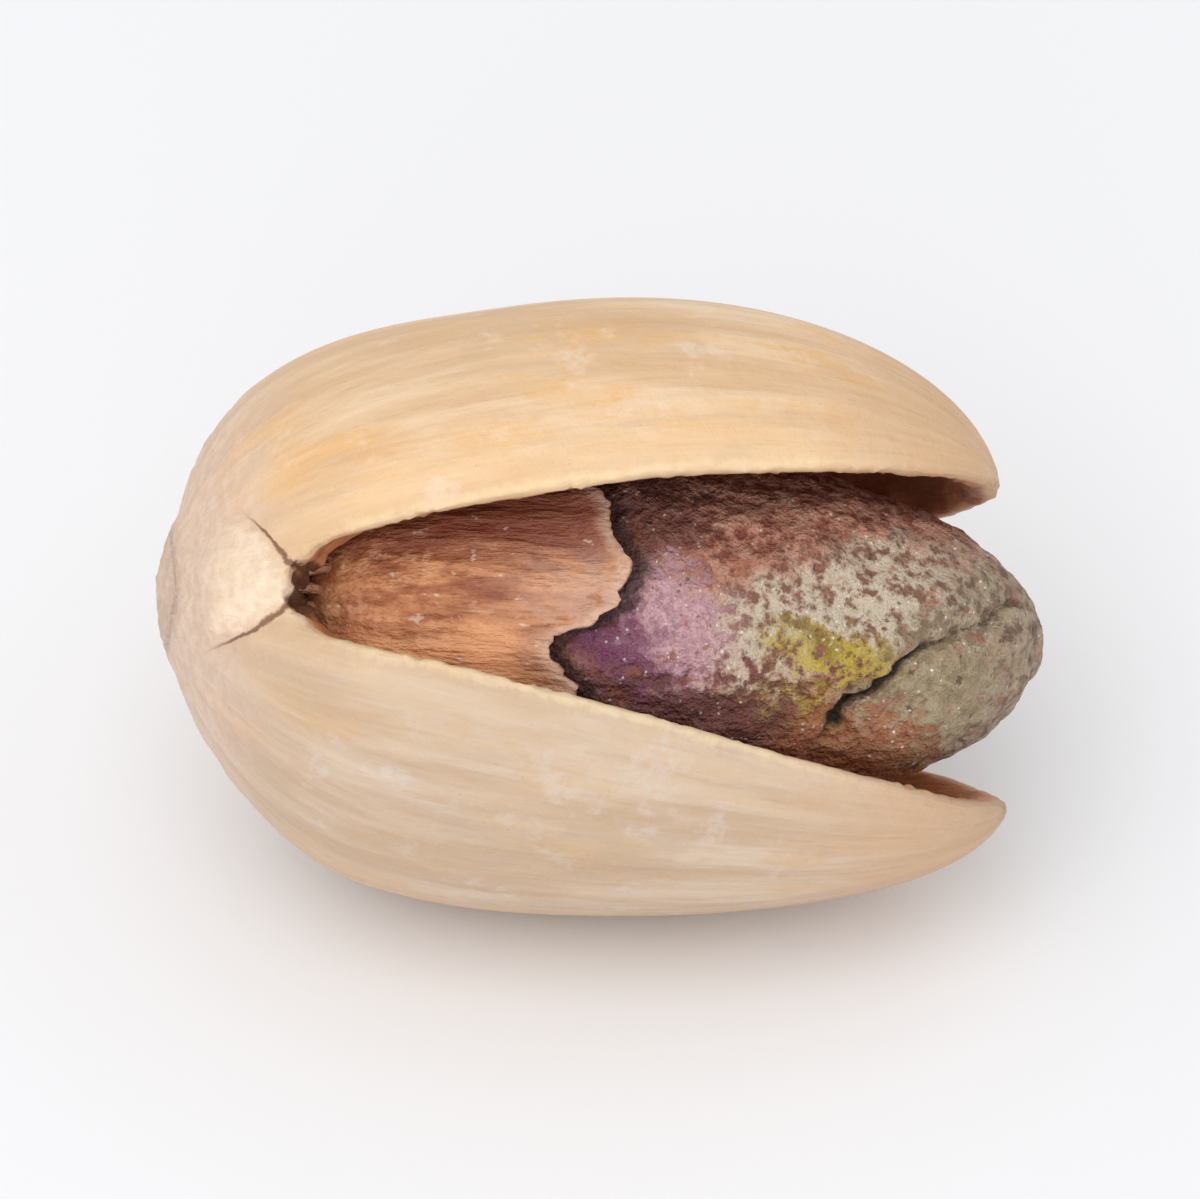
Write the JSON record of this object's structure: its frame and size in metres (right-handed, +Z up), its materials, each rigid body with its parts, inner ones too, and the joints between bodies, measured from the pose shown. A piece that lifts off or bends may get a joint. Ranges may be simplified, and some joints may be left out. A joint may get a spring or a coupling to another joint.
{
  "type": "pistachio in shell",
  "caption": "A pistachio nut in its split bony shell, the valves gaping to show the kernel and its torn papery seed coat, lying on its side.",
  "frame": {"origin": "on the surface that the nut lies on, under the middle of its bounding box", "axes": "+X along the nut from the stem end to the apex, +Z up, -Y the side that the split faces"},
  "size_m": [0.0206, 0.0138, 0.0141],
  "materials": {
    "shell": "smooth, matt, cream shell with faint streaks along its length",
    "kernel": "wrinkled skin, mottled green, purple and brown",
    "seed_coat": "dry, papery, red-brown, with fibres along its length"
  },
  "bodies": {
    "root": {"shell": "shell", "kernel": "kernel", "seed_coat": "seed_coat"}
  },
  "joints": []
}
